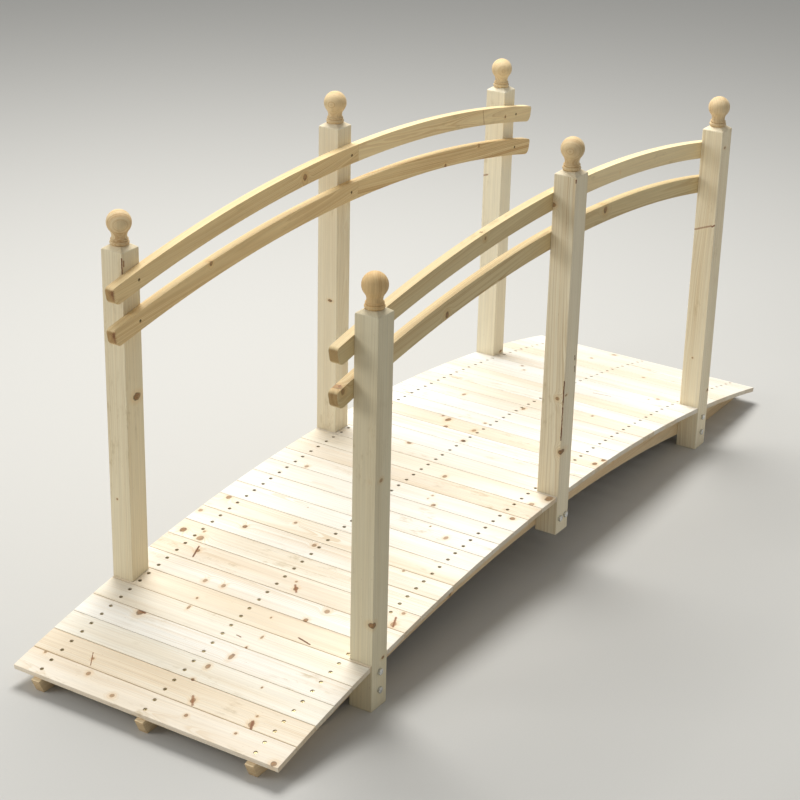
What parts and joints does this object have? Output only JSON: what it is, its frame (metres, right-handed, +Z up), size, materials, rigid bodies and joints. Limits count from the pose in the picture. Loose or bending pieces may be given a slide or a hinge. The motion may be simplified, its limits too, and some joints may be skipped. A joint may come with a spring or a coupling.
{
  "type": "arched garden bridge",
  "caption": "Small arched timber footbridge with a slatted deck, arched handrails and square posts with turned ball finials.",
  "frame": {"origin": "middle of the bridge on the ground, at the bottom of its box", "axes": "+X along the bridge towards the far end, +Y to its left side, +Z up"},
  "size_m": [2.2764, 0.6862, 1.0233],
  "materials": {
    "deck_fir": "unfinished, planed",
    "stringer_fir": "unfinished, sawn",
    "post_fir": "unfinished, planed",
    "rail_fir": "unfinished, planed",
    "finial_fir": "unfinished, turned",
    "zinc": "zinc plated"
  },
  "bodies": {
    "root": {"stringer_left": "stringer_fir", "stringer_centre": "stringer_fir", "stringer_right": "stringer_fir", "boards_near_end": "deck_fir", "board_near_posts": "deck_fir", "boards_near_bay_low": "deck_fir", "boards_near_bay_high": "deck_fir", "board_mid_posts": "deck_fir", "boards_far_bay_high": "deck_fir", "boards_far_bay_low": "deck_fir", "board_far_posts": "deck_fir", "boards_far_end": "deck_fir", "post_near_left": "post_fir", "post_near_right": "post_fir", "post_mid_left": "post_fir", "post_mid_right": "post_fir", "post_far_left": "post_fir", "post_far_right": "post_fir", "finial_near_left": "finial_fir", "finial_near_right": "finial_fir", "finial_mid_left": "finial_fir", "finial_mid_right": "finial_fir", "finial_far_left": "finial_fir", "finial_far_right": "finial_fir", "rail_upper_left_near": "rail_fir", "rail_upper_left_far": "rail_fir", "rail_upper_right_near": "rail_fir", "rail_upper_right_far": "rail_fir", "rail_lower_left_near": "rail_fir", "rail_lower_left_far": "rail_fir", "rail_lower_right_near": "rail_fir", "rail_lower_right_far": "rail_fir", "bolts_near_left": "zinc", "bolts_near_right": "zinc", "bolts_mid_left": "zinc", "bolts_mid_right": "zinc", "bolts_far_left": "zinc", "bolts_far_right": "zinc"}
  },
  "joints": []
}
